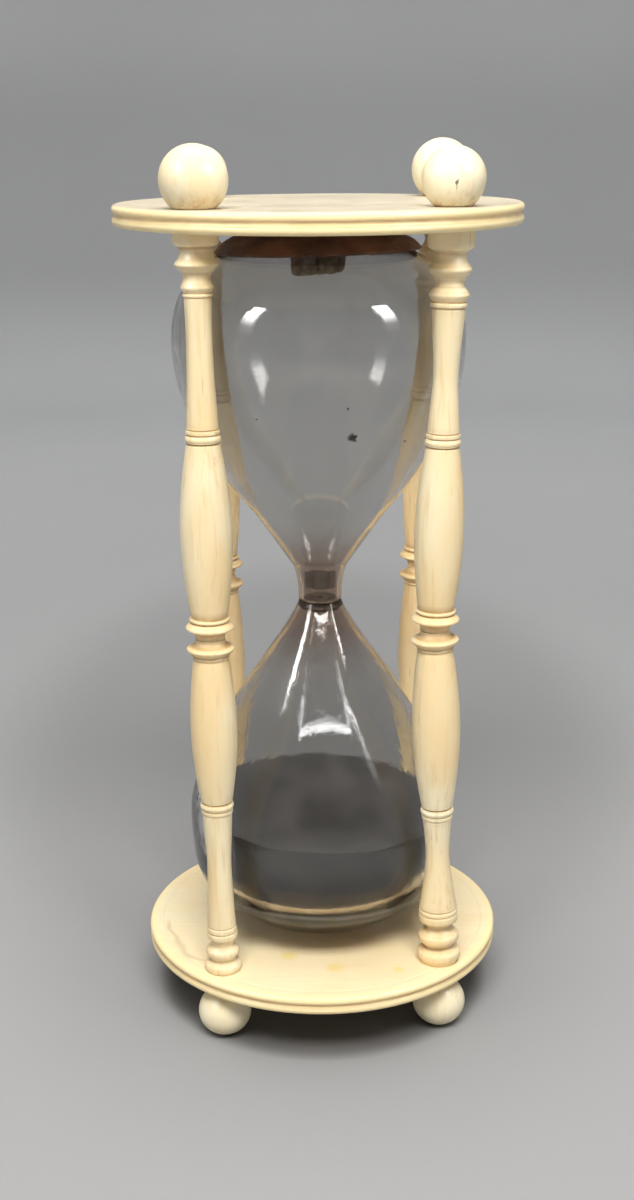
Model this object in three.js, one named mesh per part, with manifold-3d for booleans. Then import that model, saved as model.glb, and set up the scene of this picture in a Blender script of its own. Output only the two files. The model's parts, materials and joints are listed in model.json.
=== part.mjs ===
// A large hourglass: two bone plates, four turned pillars, screw-on balls and a pair of glass bulbs.
// Millimetres, +Z up. The origin is on the ground under the middle of the hourglass.
import * as THREE from 'three';
import { mergeVertices } from 'three/addons/utils/BufferGeometryUtils.js';
import Module from 'manifold-3d';

const wasm = await Module();
wasm.setup();

// ---- Driving dimensions ----

const PLATE_RADIUS = 65;
const PLATE_THICKNESS = 6.4;
const PLATE_SPAN = 259.2; // from the bottom plate's underside to the top plate's upper face
const GROOVE_DEPTH = 1.3; // the groove around the rim of each plate
const ROLL_HEIGHT = 2.6; // each of the two rounded rolls beside the groove

const STUD_RADIUS = 2.5;
const STUD_HOLE_RADIUS = 3;
const SPIGOT_LENGTH = 7; // each screwed joint between belly and end section
const MIDDLE_SPIGOT_LENGTH = 5; // the screwed joint between the two bellies
const SOCKET_DEPTH = 7.6;
const MIDDLE_GAP = 0.5; // between the two bellies, which don't always meet quite in line

const FOOT_RADIUS = 9.4;
const FOOT_COLLAR_RADIUS = 5.2;
const WEAR_FLAT_RADIUS = 3; // the small flat on the pole of each ball
const STUD_IN_BALL = 9;
const BALL_BORE_DEPTH = 10;

const GLASS_WALL = 1.7; // where the outline of a bulb gives no wall of its own
const CORK_RADIUS = 9;
const CORK_BOTTOM = 108.5; // the cork's and the leather's heights are above mid height
const CORK_TOP = 120.3;
const CORK_ROUNDING = 1.2;
const LEATHER_TOP = 122.8;
const LEATHER_THICKNESS = 2.1;
const DIAPHRAGM_RADIUS = 7.3;
const DIAPHRAGM_HOLE_RADIUS = 1.1;
const DIAPHRAGM_THICKNESS = 0.6;
const SAND_DEPTH = 77.5; // of the sand's edge below mid height
const SAND_MOUND = 1.5; // how far the middle of the sand stands above its edge

const GAP = 0.3; // left between pieces that touch

const PLATE_BOTTOM = 19.5; // height of the bottom plate's underside above the ground
const MIDDLE = PLATE_BOTTOM + PLATE_SPAN / 2;
const HALF_INSIDE = PLATE_SPAN / 2 - PLATE_THICKNESS; // from mid height to each plate's inner face
const PLATE_TOP = PLATE_BOTTOM + PLATE_SPAN;
const FOOT_CENTRE = Math.sqrt(FOOT_RADIUS ** 2 - WEAR_FLAT_RADIUS ** 2); // above the ground

const PLATE_SIDES = 40;
const BULB_SIDES = 24;
const PILLAR_SIDES = 10;
const BALL_SIDES = 12;
const HOLE_SIDES = 10;

// The pillars were turned and fitted by hand, so each stands a little out of true. Each one runs
// from the middle of its hole in the bottom plate to its middle joint, and on to the middle of its
// hole in the top plate. Their bellies, mouldings and finials differ from pillar to pillar too.
const PILLARS = [
  {
    name: 'front_left',
    bottom: [-35.5, -42.6],
    middle: [-36.1, -42, 148.4],
    top: [-36.4, -41.4],
    bellies: { lower: 57.8, upper: 62.7 },
    mouldings: { lower: 'slim_lower', upper: 'slim_upper' },
    finial: { radius: 10.2, centre: 8 },
  },
  {
    name: 'front_right',
    bottom: [41.4, -37.6],
    middle: [37.1, -37.2, 149],
    top: [39.3, -37.2],
    bellies: { lower: 63.4, upper: 59.5 },
    mouldings: { lower: 'stout_lower', upper: 'stout_upper' },
    finial: { radius: 9.5, centre: 7.8 },
  },
  {
    name: 'back_right',
    bottom: [38.2, 37.1],
    middle: [37.8, 37.1, 150.6],
    top: [42, 37.1],
    bellies: { lower: 65, upper: 60 },
    mouldings: { lower: 'stout_lower', upper: 'stout_upper' },
    finial: { radius: 10.2, centre: 8.5 },
  },
  {
    name: 'back_left',
    bottom: [-37.3, 37.8],
    middle: [-36, 37.4, 147.8],
    top: [-39.2, 37.4],
    bellies: { lower: 65, upper: 62.5 },
    mouldings: { lower: 'slim_lower', upper: 'slim_upper' },
    finial: { radius: 9.4, centre: 7.6 },
  },
];

// The turned mouldings next to the plates, as [height from the plate, radius]: a cap, a cove, a bead,
// a second cove, and a smaller bead where the shaft begins.
const MOULDINGS = {
  slim_upper: [
    [3.4, 6.9], [5.2, 5], [7.4, 5.8], [9, 6.5], [10.5, 5.6], [12.3, 4.3],
    [14.2, 4.6], [15.5, 5], [16.8, 4.7], [18.3, 4.4],
  ],
  stout_upper: [
    [5.2, 7.1], [7.2, 4.8], [9.2, 5.6], [11.1, 6.5], [13, 5.6], [14.9, 4.4],
    [16.8, 5.2], [18.3, 6.1], [20, 5.6], [22.4, 5.3],
  ],
  slim_lower: [
    [3.2, 6.2], [4.4, 4.5], [5.8, 5.3], [7.4, 5.8], [9, 5.2], [10.5, 4.2],
    [12.4, 5], [13.6, 5.4], [15.4, 5.3], [17.6, 5.1],
  ],
  stout_lower: [
    [4.7, 7.3], [6.3, 5], [8, 6.5], [9.6, 7.1], [11.6, 6.4], [13.6, 4.6],
    [15.8, 6], [17.2, 6.8], [19.3, 6.6], [21.4, 6.2],
  ],
};

// ---- Materials ----

const LOOKS = {
  plate: { color: 0xf5e3bd, roughness: 0.45 },
  pillar: { color: 0xf3deb0, roughness: 0.4 },
  ball: { color: 0xf8e6c0, roughness: 0.4 },
  glass: { color: 0xc8ccca, roughness: 0.05, transparent: true, opacity: 0.35 },
  diaphragm: { color: 0x3c3834, roughness: 0.5 },
  sand: { color: 0x3e3935, roughness: 0.95 },
  cork: { color: 0x382e25, roughness: 0.9 },
  leather: { color: 0x391f12, roughness: 0.7 },
};

function mesh(name, geometry, look) {
  const material = new THREE.MeshStandardMaterial({ metalness: 0, ...LOOKS[look] });
  const piece = new THREE.Mesh(geometry, material);
  piece.name = name;
  return piece;
}

// ---- Turning and cutting ----

// A turned solid about +Z. The profile is a list of [radius, height], bottom to top.
function turned(profile, sides) {
  const points = profile.map(([radius, height]) => new THREE.Vector2(radius, height));
  const geometry = new THREE.LatheGeometry(points, sides);
  geometry.rotateX(Math.PI / 2);
  return geometry;
}

function toSolid(geometry) {
  const bare = geometry.clone();
  bare.deleteAttribute('normal');
  bare.deleteAttribute('uv');
  const merged = mergeVertices(bare, 1e-3);
  const vertProperties = merged.attributes.position.array;
  const triVerts = new Uint32Array(merged.index.array);
  return new wasm.Manifold(new wasm.Mesh({ numProp: 3, vertProperties, triVerts }));
}

function toGeometry(solid) {
  const cut = solid.getMesh();
  const geometry = new THREE.BufferGeometry();
  geometry.setAttribute('position', new THREE.BufferAttribute(cut.vertProperties, 3));
  geometry.setIndex(new THREE.BufferAttribute(cut.triVerts, 1));
  geometry.computeVertexNormals();
  return geometry;
}

// A long bowed stretch from one radius to another. A negative bow gives a hollow taper.
function bowed(from, to, startRadius, endRadius, bow, steps) {
  const points = [];
  for (let i = 0; i <= steps; i += 1) {
    const part = i / steps;
    const straight = startRadius + (endRadius - startRadius) * part;
    points.push([from + (to - from) * part, straight + bow * Math.sin(part * Math.PI)]);
  }
  return points;
}

// ---- Plates ----

function plateProfile() {
  const lip = (PLATE_THICKNESS - ROLL_HEIGHT) / 2;
  const edge = PLATE_RADIUS - 0.7;
  const groove = PLATE_RADIUS - GROOVE_DEPTH;
  return [
    [0, 0],
    [edge, 0],
    [PLATE_RADIUS, lip / 2],
    [PLATE_RADIUS, lip],
    [groove, PLATE_THICKNESS / 2],
    [PLATE_RADIUS, PLATE_THICKNESS - lip],
    [PLATE_RADIUS, PLATE_THICKNESS - lip / 2],
    [edge, PLATE_THICKNESS],
    [0, PLATE_THICKNESS],
  ];
}

function studHole([x, y]) {
  const length = 3 * PLATE_THICKNESS;
  const hole = new THREE.CylinderGeometry(STUD_HOLE_RADIUS, STUD_HOLE_RADIUS, length, HOLE_SIDES);
  hole.rotateX(Math.PI / 2);
  hole.translate(x, y, PLATE_THICKNESS / 2);
  return toSolid(hole);
}

function plateGeometry(holes) {
  let plate = toSolid(turned(plateProfile(), PLATE_SIDES));
  for (const place of holes) {
    plate = plate.subtract(studHole(place));
  }
  return toGeometry(plate);
}

function addPlates(hourglass) {
  const bottom = mesh('bottom_plate', plateGeometry(PILLARS.map((pillar) => pillar.bottom)), 'plate');
  bottom.position.z = PLATE_BOTTOM;
  const top = mesh('top_plate', plateGeometry(PILLARS.map((pillar) => pillar.top)), 'plate');
  top.position.z = PLATE_TOP - PLATE_THICKNESS;
  hourglass.add(bottom, top);
}

// ---- Pillars ----

// The neck of a belly: half of a deep cove, a sharp-edged disc and a thin collar. Outlines run
// outwards from the middle joint, as [height, radius].
const NECK_RADIUS = 4.9;
const NECK_DISC = [[1.8, 5.3], [2.8, 6.9], [3.5, 7.7], [4.5, 7.4], [5.6, 6.2]];
const COLLAR_HEIGHT = 6.3;
const COLLAR_RADIUS = { upper: 6.6, lower: 6.1 };
const BELLY_START = 7.3;
const BELLY_START_RADIUS = 5.9;
const BELLY_BOW = 2.2; // how far the belly swells beyond a straight taper
const JOINT_RADIUS = 5.3; // where belly and end section meet

function bellyOutline(length, half) {
  return [
    [MIDDLE_GAP / 2, NECK_RADIUS],
    ...NECK_DISC,
    [COLLAR_HEIGHT, COLLAR_RADIUS[half]],
    ...bowed(BELLY_START, length - GAP / 2, BELLY_START_RADIUS, JOINT_RADIUS, BELLY_BOW, 6),
  ];
}

// Two rings beside the joint, then a long hollow shaft: [height from the joint, radius], and
// [part of the shaft's length, radius].
const JOINT_RINGS = [[1.2, 5.8], [2.6, 5.4], [3.4, 5.5], [4.2, 5.1]];
const SHAFT = [[0.2, 4.5], [0.45, 4.1], [0.75, 4.1]];
const SHAFT_FLARE = 0.9; // the part of the shaft's length by which it is half way out to the moulding

function endOutline(joint, reach, moulding) {
  const [ringsEnd] = JOINT_RINGS[JOINT_RINGS.length - 1];
  const [, waist] = SHAFT[SHAFT.length - 1];
  const [mouldingStart, mouldingRadius] = moulding[moulding.length - 1];
  const start = joint + ringsEnd;
  const length = reach - mouldingStart - start;
  const [[, capRadius]] = moulding;
  return [
    [joint + GAP / 2, JOINT_RADIUS],
    ...JOINT_RINGS.map(([height, radius]) => [joint + height, radius]),
    ...SHAFT.map(([part, radius]) => [start + part * length, radius]),
    [start + SHAFT_FLARE * length, (waist + mouldingRadius) / 2],
    ...moulding.map(([fromPlate, radius]) => [reach - fromPlate, radius]).reverse(),
    [reach - GAP, capRadius],
  ];
}

// The profile that closes one end: a spigot that stands out by its length, or a socket that goes in.
function endCap(height, outwards, length, isSpigot) {
  const radius = isSpigot ? STUD_RADIUS : STUD_HOLE_RADIUS;
  const tip = height + (isSpigot ? outwards : -outwards) * length;
  return [[0, tip], [radius, tip], [radius, height]];
}

function sectionGeometry(outline, inner, outer) {
  const profile = [
    ...endCap(outline[0][0], -1, inner.length, inner.isSpigot),
    ...outline.map(([height, radius]) => [radius, height]),
    ...endCap(outline[outline.length - 1][0], 1, outer.length, outer.isSpigot).reverse(),
  ];
  return turned(profile, PILLAR_SIDES);
}

const SPIGOT = { length: SPIGOT_LENGTH, isSpigot: true };
const MIDDLE_SPIGOT = { length: MIDDLE_SPIGOT_LENGTH, isSpigot: true };
const SOCKET = { length: SOCKET_DEPTH, isSpigot: false };

// The stud goes through the plate and into the ball beyond it.
const STUD = { length: GAP + PLATE_THICKNESS + STUD_IN_BALL, isSpigot: true };

// The line that half a pillar stands on, from its middle joint outwards.
function halfAxis(pillar, half) {
  const middle = new THREE.Vector3(...pillar.middle);
  const isUpper = half === 'upper';
  const [x, y] = isUpper ? pillar.top : pillar.bottom;
  const holeHeight = isUpper ? PLATE_TOP - PLATE_THICKNESS / 2 : PLATE_BOTTOM + PLATE_THICKNESS / 2;
  const span = new THREE.Vector3(x, y, holeHeight).sub(middle);
  const reach = span.length() - PLATE_THICKNESS / 2;
  const direction = span.normalize();
  const pointAt = (height) => middle.clone().addScaledVector(direction, (height - middle.z) / direction.z);
  return { middle, reach, direction, pointAt };
}

function halfPillar(pillar, half) {
  const { middle, reach, direction } = halfAxis(pillar, half);
  const inner = half === 'upper' ? SOCKET : MIDDLE_SPIGOT;
  const length = pillar.bellies[half];
  const belly = sectionGeometry(bellyOutline(length, half), inner, SPIGOT);
  const endLine = endOutline(length, reach, MOULDINGS[pillar.mouldings[half]]);
  const end = sectionGeometry(endLine, SOCKET, STUD);
  const group = new THREE.Group();
  group.add(mesh(`${pillar.name}_pillar_${half}_belly`, belly, 'pillar'));
  group.add(mesh(`${pillar.name}_pillar_${half}_end`, end, 'pillar'));
  group.quaternion.setFromUnitVectors(new THREE.Vector3(0, 0, 1), direction);
  group.position.copy(middle);
  return group;
}

function addPillars(hourglass) {
  for (const pillar of PILLARS) {
    hourglass.add(halfPillar(pillar, 'upper'), halfPillar(pillar, 'lower'));
  }
}

// ---- Balls ----

// The arc of a ball between two radii measured from its axis, from below its middle to above it.
function ballArc(radius, centre, lowRadius, highRadius, steps) {
  const low = Math.asin(lowRadius / radius);
  const high = Math.PI - Math.asin(highRadius / radius);
  const points = [];
  for (let i = 0; i <= steps; i += 1) {
    const angle = low + ((high - low) * i) / steps;
    points.push([radius * Math.sin(angle), centre - radius * Math.cos(angle)]);
  }
  return points;
}

// Ground at zero: the wear flat is down, the collar and its bore are up.
function footGeometry() {
  const mouth = PLATE_BOTTOM - GAP;
  const profile = [
    [0, 0],
    ...ballArc(FOOT_RADIUS, FOOT_CENTRE, WEAR_FLAT_RADIUS, FOOT_COLLAR_RADIUS, 6),
    [FOOT_COLLAR_RADIUS, mouth],
    [STUD_HOLE_RADIUS, mouth],
    [STUD_HOLE_RADIUS, mouth - BALL_BORE_DEPTH],
    [0, mouth - BALL_BORE_DEPTH],
  ];
  return turned(profile, BALL_SIDES);
}

// The top plate's upper face at zero: the bore is down, the wear flat is up.
function finialGeometry({ radius, centre }) {
  const baseRadius = Math.sqrt(radius ** 2 - (centre - GAP) ** 2);
  const arc = ballArc(radius, centre, baseRadius, WEAR_FLAT_RADIUS, 6);
  const profile = [
    [0, GAP + BALL_BORE_DEPTH],
    [STUD_HOLE_RADIUS, GAP + BALL_BORE_DEPTH],
    [STUD_HOLE_RADIUS, GAP],
    ...arc,
    [0, arc[arc.length - 1][1]],
  ];
  return turned(profile, BALL_SIDES);
}

// Each ball is centred on the part of the stud that it holds.
function addBalls(hourglass) {
  for (const pillar of PILLARS) {
    const foot = mesh(`${pillar.name}_foot`, footGeometry(), 'ball');
    foot.position.copy(halfAxis(pillar, 'lower').pointAt(PLATE_BOTTOM - STUD_IN_BALL / 2)).setZ(0);
    const finial = mesh(`${pillar.name}_finial`, finialGeometry(pillar.finial), 'ball');
    finial.position.copy(halfAxis(pillar, 'upper').pointAt(PLATE_TOP + STUD_IN_BALL / 2)).setZ(PLATE_TOP);
    hourglass.add(foot, finial);
  }
}

// ---- Glass, measured from mid height outwards ----

// Outside of the upper bulb, from the neck up to the filling hole in its crown: [radius, height].
const UPPER_BULB = [
  [7.5, 0.6],
  [7.8, 6],
  [9, 11.4],
  [14.7, 20],
  [22.5, 31],
  [31, 42],
  [40.2, 58],
  [46, 72],
  [48.1, 84.5],
  [46.8, 97],
  [43.4, 104.5],
  [38.5, 110.3],
  [30, 115.4],
  [20, 118.8],
  [CORK_RADIUS + GAP, 120.2],
];

// Outside of the lower bulb, from the neck down to its resting ring: [radius, depth, wall]. The wall
// thickens downwards to a heavy base.
const LOWER_BULB = [
  [7.5, 0.6, 1.7],
  [9.3, 4.4, 1.7],
  [13.8, 12, 1.7],
  [20, 21, 1.8],
  [31.4, 38, 2],
  [40, 54.5, 2.3],
  [46, 69.5, 2.8],
  [48.1, 82.5, 3.5],
  [47, 97, 4.3],
  [43.6, 105.2, 5.2],
  [38, 110.8, 6.2],
  [30, 116.7, 7.2],
  [20, 121.2, 8],
  [12, HALF_INSIDE - GAP, 8.4],
];

// The inside of the glass, or a line a little way in from it, square to the outline at each point.
function inside(outline, clearance) {
  return outline.map(([radius, height, wall = GLASS_WALL], i) => {
    const distance = wall + clearance;
    const before = outline[Math.max(i - 1, 0)];
    const after = outline[Math.min(i + 1, outline.length - 1)];
    const along = new THREE.Vector2(after[0] - before[0], after[1] - before[1]).normalize();
    return [radius - distance * along.y, height + distance * along.x];
  });
}

function upperBulbGeometry() {
  const inner = inside(UPPER_BULB, 0);
  const last = inner.length - 1;
  inner[0][1] = UPPER_BULB[0][1];
  inner[last][0] = UPPER_BULB[last][0];
  return turned([...UPPER_BULB, ...inner.reverse(), UPPER_BULB[0]], BULB_SIDES);
}

function lowerBulbGeometry() {
  const inner = inside(LOWER_BULB, 0);
  const base = inner[inner.length - 1][1];
  inner[0][1] = LOWER_BULB[0][1];
  const profile = [[0, base], ...inner.reverse(), ...LOWER_BULB, [0, HALF_INSIDE - GAP]];
  return turned(profile, BULB_SIDES);
}

// Where a line of [radius, height] points crosses a height.
function radiusAt(line, height) {
  const i = line.findIndex((point) => point[1] > height);
  const [low, high] = [line[i - 1], line[i]];
  return low[0] + ((high[0] - low[0]) * (height - low[1])) / (high[1] - low[1]);
}

function sandGeometry() {
  const wall = inside(LOWER_BULB, GAP);
  const below = wall.filter((point) => point[1] > SAND_DEPTH);
  const base = below[below.length - 1][1];
  const surface = [[0, SAND_DEPTH - SAND_MOUND], [radiusAt(wall, SAND_DEPTH), SAND_DEPTH]];
  return turned([...surface, ...below, [0, base]], BULB_SIDES);
}

function diaphragmGeometry() {
  const half = DIAPHRAGM_THICKNESS / 2;
  const profile = [
    [DIAPHRAGM_HOLE_RADIUS, -half],
    [DIAPHRAGM_RADIUS, -half],
    [DIAPHRAGM_RADIUS, half],
    [DIAPHRAGM_HOLE_RADIUS, half],
    [DIAPHRAGM_HOLE_RADIUS, -half],
  ];
  return turned(profile, BULB_SIDES);
}

// ---- Stopper, measured from mid height ----

function corkGeometry() {
  const profile = [
    [0, CORK_BOTTOM],
    [CORK_RADIUS - CORK_ROUNDING, CORK_BOTTOM],
    [CORK_RADIUS - CORK_ROUNDING / 3, CORK_BOTTOM + CORK_ROUNDING],
    [CORK_RADIUS, CORK_TOP],
    [0, CORK_TOP],
  ];
  return turned(profile, BULB_SIDES);
}

// The leather is pressed flat under the plate and droops over the crown of the glass.
const LEATHER_DROOP = [
  [12, 120.7],
  [20, 119.9],
  [28, 117.3],
  [32.4, 114.8],
  [33.1, 115.7],
  [29.5, 118.7],
  [21, 121.6],
];

function leatherGeometry() {
  const profile = [
    [0, LEATHER_TOP - LEATHER_THICKNESS],
    ...LEATHER_DROOP,
    [14, LEATHER_TOP],
    [0, LEATHER_TOP],
  ];
  return turned(profile, BULB_SIDES);
}

function addGlass(hourglass) {
  const upper = new THREE.Group();
  upper.add(mesh('upper_bulb', upperBulbGeometry(), 'glass'));
  upper.add(mesh('neck_diaphragm', diaphragmGeometry(), 'diaphragm'));
  upper.add(mesh('cork', corkGeometry(), 'cork'));
  upper.add(mesh('leather_cap', leatherGeometry(), 'leather'));
  upper.position.z = MIDDLE;
  const lower = new THREE.Group();
  lower.add(mesh('lower_bulb', lowerBulbGeometry(), 'glass'));
  lower.add(mesh('sand', sandGeometry(), 'sand'));
  lower.rotation.x = Math.PI;
  lower.position.z = MIDDLE;
  hourglass.add(upper, lower);
}

// ---- The hourglass ----

const hourglass = new THREE.Group();
addPlates(hourglass);
addPillars(hourglass);
addBalls(hourglass);
addGlass(hourglass);

export default hourglass;
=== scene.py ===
import json
import math

import bmesh
import bpy
from mathutils import Matrix, Vector, noise

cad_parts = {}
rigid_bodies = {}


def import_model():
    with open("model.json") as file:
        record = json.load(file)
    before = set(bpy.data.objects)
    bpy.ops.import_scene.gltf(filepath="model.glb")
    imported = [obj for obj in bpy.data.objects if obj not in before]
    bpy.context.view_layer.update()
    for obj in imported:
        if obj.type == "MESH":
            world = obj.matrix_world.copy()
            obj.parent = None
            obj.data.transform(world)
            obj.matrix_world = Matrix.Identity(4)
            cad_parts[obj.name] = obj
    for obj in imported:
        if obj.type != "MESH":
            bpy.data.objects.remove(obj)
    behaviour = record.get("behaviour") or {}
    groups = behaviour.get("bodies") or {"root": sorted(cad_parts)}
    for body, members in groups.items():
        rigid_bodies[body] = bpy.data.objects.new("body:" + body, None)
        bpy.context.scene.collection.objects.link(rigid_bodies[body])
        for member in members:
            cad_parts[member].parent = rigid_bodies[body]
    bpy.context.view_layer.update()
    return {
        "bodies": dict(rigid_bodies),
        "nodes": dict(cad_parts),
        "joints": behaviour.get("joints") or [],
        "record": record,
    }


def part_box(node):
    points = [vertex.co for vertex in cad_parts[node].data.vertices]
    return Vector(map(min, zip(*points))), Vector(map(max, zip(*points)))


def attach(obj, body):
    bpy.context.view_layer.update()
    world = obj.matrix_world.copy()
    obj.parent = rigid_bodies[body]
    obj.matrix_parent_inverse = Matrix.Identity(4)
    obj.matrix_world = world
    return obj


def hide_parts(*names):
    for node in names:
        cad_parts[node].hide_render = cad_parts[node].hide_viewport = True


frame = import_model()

MM = 0.001

# The pillars were turned and fitted by hand. Each one runs from its hole in the bottom plate to its
# middle joint, and on to its hole in the top plate. A belly is given by its length and its greatest
# radius, a shaft by the radii that it passes through, a finial by its radius and centre height.
PILLARS = {
    "front_left": {
        "bottom": (-35.5, -42.6), "middle": (-36.1, -42, 148.4), "top": (-36.4, -41.4),
        "upper": {"belly": 62.7, "girth": 8.1, "shaft": (4.6, 4.25, 4.05, 4.0), "style": "slim_upper"},
        "lower": {"belly": 57.8, "girth": 7.55, "shaft": (4.6, 4.2, 4.3, 4.6), "style": "slim_lower"},
        "finial": (10.2, 8),
    },
    "front_right": {
        "bottom": (41.4, -37.6), "middle": (37.1, -37.2, 149), "top": (39.3, -37.2),
        "upper": {"belly": 59.5, "girth": 7.7, "shaft": (4.5, 3.95, 4.1, 4.6), "style": "stout_upper"},
        "lower": {"belly": 63.4, "girth": 7.9, "shaft": (4.4, 4.1, 4.6, 5.5), "style": "stout_lower"},
        "finial": (9.5, 7.8),
    },
    "back_right": {
        "bottom": (38.2, 37.1), "middle": (37.8, 37.1, 150.6), "top": (42, 37.1),
        "upper": {"belly": 60, "girth": 7.8, "shaft": (4.5, 4.0, 4.1, 4.6), "style": "stout_upper"},
        "lower": {"belly": 65, "girth": 7.8, "shaft": (4.5, 4.1, 4.5, 5.4), "style": "stout_lower"},
        "finial": (10.2, 8.5),
    },
    "back_left": {
        "bottom": (-37.3, 37.8), "middle": (-36, 37.4, 147.8), "top": (-39.2, 37.4),
        "upper": {"belly": 62.5, "girth": 7.9, "shaft": (4.6, 4.2, 4.1, 4.0), "style": "slim_upper"},
        "lower": {"belly": 65, "girth": 7.7, "shaft": (4.6, 4.2, 4.3, 4.6), "style": "slim_lower"},
        "finial": (9.4, 7.6),
    },
}
STUD_IN_BALL = 9


# ---- What the frame says about sizes and places, in millimetres ----

def box_mm(node):
    low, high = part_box(node)
    return Vector(low) / MM, Vector(high) / MM


TOP_LOW, TOP_HIGH = box_mm("top_plate")
BOTTOM_LOW, BOTTOM_HIGH = box_mm("bottom_plate")
PLATE_RADIUS = TOP_HIGH.x
PLATE_THICKNESS = TOP_HIGH.z - TOP_LOW.z
MIDDLE = (TOP_HIGH.z + BOTTOM_LOW.z) / 2
HALF_INSIDE = TOP_LOW.z - MIDDLE


class Axis:
    """The line of half a pillar, from its middle joint outwards to a plate."""

    def __init__(self, corner, half):
        pillar = PILLARS[corner]
        if half == "upper":
            hole = Vector((*pillar["top"], TOP_HIGH.z - PLATE_THICKNESS / 2))
        else:
            hole = Vector((*pillar["bottom"], BOTTOM_LOW.z + PLATE_THICKNESS / 2))
        self.middle = Vector(pillar["middle"])
        self.direction = (hole - self.middle).normalized()
        self.reach = (hole - self.middle).length - PLATE_THICKNESS / 2

    def at(self, height):
        """Where the line passes a height above the ground, as (x, y)."""
        point = self.middle + self.direction * (height - self.middle.z) / self.direction.z
        return point.x, point.y

    def placement(self):
        return Matrix.Translation(self.middle) @ self.direction.to_track_quat("Z", "Y").to_matrix().to_4x4()


def finial_axis(corner):
    return Axis(corner, "upper").at(TOP_HIGH.z + STUD_IN_BALL / 2)


def foot_axis(corner):
    return Axis(corner, "lower").at(BOTTOM_LOW.z - STUD_IN_BALL / 2)


# ---- Camera ----

EYE = (-0.0054, -0.5147, 0.3006)
CAMERA_TURN = (0.0075, 0.4006, 0.0072)
LENS = 45.79
LENS_SHIFT = 0.144


def make_camera():
    """Looks down at the hourglass from half a metre away, a little above its top plate."""
    data = bpy.data.cameras.new("camera")
    data.sensor_width = 36
    data.lens = LENS
    data.shift_y = LENS_SHIFT
    camera = bpy.data.objects.new("camera", data)
    bpy.context.collection.objects.link(camera)
    yaw, pitch, roll = CAMERA_TURN
    level = math.cos(pitch)
    forward = Vector((math.sin(yaw) * level, math.cos(yaw) * level, -math.sin(pitch)))
    right = Vector((math.cos(yaw), -math.sin(yaw), 0))
    down = forward.cross(right)
    across = math.cos(roll) * right + math.sin(roll) * down
    upright = math.sin(roll) * right - math.cos(roll) * down
    turn = Matrix((across, upright, -forward)).transposed()
    camera.matrix_world = Matrix.Translation(EYE) @ turn.to_4x4()
    bpy.context.scene.camera = camera


# ---- Mesh making ----

SHARP_ANGLE = math.radians(32)
# How fast the painted shade in a hollow deepens with the hollow's depth.
SHADE_PER_MM = 2.4


def new_object(name, vertices, faces, attributes=None):
    mesh = bpy.data.meshes.new(name)
    mesh.from_pydata(vertices, [], faces)
    for key, values in (attributes or {}).items():
        layer = mesh.attributes.new(key, "FLOAT", "POINT")
        layer.data.foreach_set("value", values)
    bm = bmesh.new()
    bm.from_mesh(mesh)
    bmesh.ops.recalc_face_normals(bm, faces=bm.faces)
    for face in bm.faces:
        face.smooth = True
    for edge in bm.edges:
        edge.smooth = edge.calc_face_angle(0) < SHARP_ANGLE
    bm.to_mesh(mesh)
    bm.free()
    piece = bpy.data.objects.new(name, mesh)
    bpy.context.collection.objects.link(piece)
    return piece


def hollowness(profile, reach=0.9):
    """How far each point of a profile lies below the mean of its neighbours, from 0 to 1."""
    values = []
    for radius, height in profile:
        near = [r for r, h in profile if 0 < abs(h - height) < reach and r > 0]
        mean = sum(near) / len(near) if near else radius
        values.append(min(max((mean - radius) * SHADE_PER_MM, 0), 1) if radius else 0)
    return values


def revolve(name, profile, sides=64, shape=None, placement=None, painted_shade=None):
    """Turns a profile of [radius, height] about an upright axis. A profile that ends where it
    starts makes a ring. shape(radius, angle, height) can move a point off the round. The last
    argument gives each point's share of painted shade, which is otherwise painted in the hollows."""
    is_ring = profile[0] == profile[-1]
    points = profile[:-1] if is_ring else profile
    placement = placement or Matrix.Identity(4)
    vertices, shade_share, rings = [], [], []
    for (radius, height), depth in zip(points, painted_shade or hollowness(points)):
        count = 1 if radius == 0 else sides
        rings.append(range(len(vertices), len(vertices) + count))
        for i in range(count):
            angle = 2 * math.pi * i / sides
            r, h = shape(radius, angle, height) if shape else (radius, height)
            vertices.append(placement @ Vector((r * math.cos(angle), r * math.sin(angle), h)) * MM)
            shade_share.append(depth)
    faces = []
    pairs = list(zip(rings, rings[1:]))
    if is_ring:
        pairs.append((rings[-1], rings[0]))
    for low, high in pairs:
        for i in range(sides):
            j = (i + 1) % sides
            corners = [low[i % len(low)], low[j % len(low)], high[j % len(high)], high[i % len(high)]]
            face = list(dict.fromkeys(corners))
            if len(face) > 2:
                faces.append(face)
    return new_object(name, vertices, faces, {"shade_share": shade_share})


def smooth_line(points, steps=6):
    """A Catmull-Rom curve through a list of [radius, height] points."""
    line = []
    ends = [points[0]] + points + [points[-1]]
    for a, b, c, d in zip(ends, ends[1:], ends[2:], ends[3:]):
        for i in range(steps):
            t = i / steps
            line.append(tuple(
                0.5 * (2 * q + (r - p) * t + (2 * p - 5 * q + 4 * r - s) * t * t
                       + (3 * q - p - 3 * r + s) * t ** 3)
                for p, q, r, s in zip(a, b, c, d)))
    return line + [tuple(points[-1])]


def arc(centre, radius, start, end, steps):
    """Points of a round arc. Angles are in degrees from the outward direction."""
    angles = [math.radians(start + (end - start) * i / steps) for i in range(steps + 1)]
    return [(centre[0] + radius * math.cos(a), centre[1] + radius * math.sin(a)) for a in angles]


# ---- Shader helpers ----

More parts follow.
